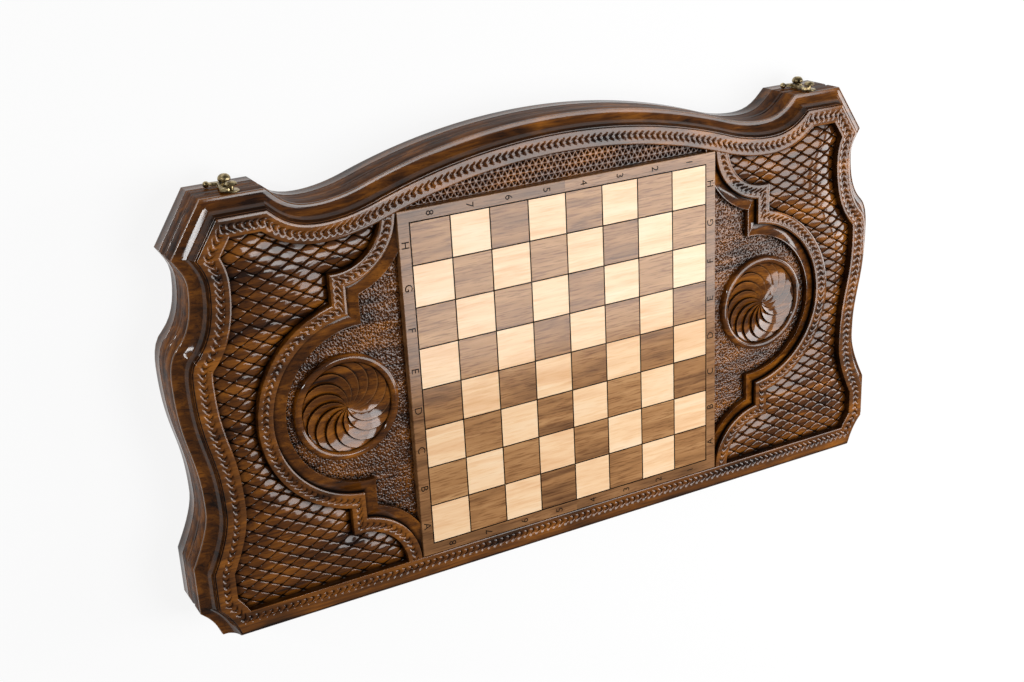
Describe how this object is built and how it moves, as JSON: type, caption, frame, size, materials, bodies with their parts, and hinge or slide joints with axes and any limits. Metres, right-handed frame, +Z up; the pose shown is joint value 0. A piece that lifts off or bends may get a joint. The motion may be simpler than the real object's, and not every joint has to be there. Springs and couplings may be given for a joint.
{
  "type": "folding backgammon board",
  "caption": "Closed folding backgammon board of carved stained wood, with a chessboard on the lid, playing fields inside, brass hinges and hook clasps.",
  "frame": {"origin": "middle of the underside of the closed case, lying on its base", "axes": "+X along the long side, +Y from the hinges to the clasps, +Z up out of the chessboard"},
  "size_m": [0.6012, 0.3338, 0.0535],
  "materials": {
    "carved_wood": "dark stained, gloss varnish",
    "rail_wood": "dark stained, gloss varnish",
    "panel_wood": "stained squares, satin varnish",
    "field_wood": "satin varnish",
    "pale_inlay": "satin varnish",
    "dark_inlay": "satin varnish",
    "brass": "aged, polished on the high spots"
  },
  "bodies": {
    "base": {"base_face_board": "carved_wood", "base_centre_panel": "panel_wood", "base_hinge_rail": "rail_wood", "base_clasp_rail": "rail_wood", "base_left_rail": "rail_wood", "base_right_rail": "rail_wood", "base_field": "field_wood", "base_point_left_1": "pale_inlay", "base_point_left_2": "dark_inlay", "base_point_left_3": "pale_inlay", "base_point_left_4": "dark_inlay", "base_point_left_5": "pale_inlay", "base_point_left_6": "dark_inlay", "base_hinge_leaf_left": "brass", "base_screw_left_1": "brass", "base_screw_left_2": "brass", "base_point_right_1": "dark_inlay", "base_point_right_2": "pale_inlay", "base_point_right_3": "dark_inlay", "base_point_right_4": "pale_inlay", "base_point_right_5": "dark_inlay", "base_point_right_6": "pale_inlay", "base_hinge_leaf_right": "brass", "base_screw_right_1": "brass", "base_screw_right_2": "brass", "hinge_pin_left": "brass", "clasp_post_left": "brass", "hinge_pin_right": "brass", "clasp_post_right": "brass"},
    "lid": {"lid_face_board": "carved_wood", "lid_chess_panel": "panel_wood", "lid_hinge_rail": "rail_wood", "lid_clasp_rail": "rail_wood", "lid_left_rail": "rail_wood", "lid_right_rail": "rail_wood", "lid_field": "field_wood", "lid_point_left_1": "pale_inlay", "lid_point_left_2": "dark_inlay", "lid_point_left_3": "pale_inlay", "lid_point_left_4": "dark_inlay", "lid_point_left_5": "pale_inlay", "lid_point_left_6": "dark_inlay", "lid_hinge_leaf_left": "brass", "lid_screw_left_1": "brass", "lid_screw_left_2": "brass", "lid_point_right_1": "dark_inlay", "lid_point_right_2": "pale_inlay", "lid_point_right_3": "dark_inlay", "lid_point_right_4": "pale_inlay", "lid_point_right_5": "dark_inlay", "lid_point_right_6": "pale_inlay", "lid_hinge_leaf_right": "brass", "lid_screw_right_1": "brass", "lid_screw_right_2": "brass", "clasp_stud_left": "brass", "clasp_stud_right": "brass"},
    "hook_left": {"clasp_hook_left": "brass"},
    "hook_right": {"clasp_hook_right": "brass"}
  },
  "joints": [
    {"name": "lid_hinge", "type": "hinge", "parent": "base", "child": "lid", "pos_m": [0, -0.16445, 0.02675], "axis": [1, 0, 0], "range_deg": [0, 180]},
    {"name": "hook_left_swing", "type": "hinge", "parent": "base", "child": "hook_left", "pos_m": [-0.2387, 0.152, 0.0196], "axis": [0, -1, 0], "range_deg": [-12, 95]},
    {"name": "hook_right_swing", "type": "hinge", "parent": "base", "child": "hook_right", "pos_m": [0.2387, 0.152, 0.0196], "axis": [0, -1, 0], "range_deg": [-12, 95]}
  ]
}
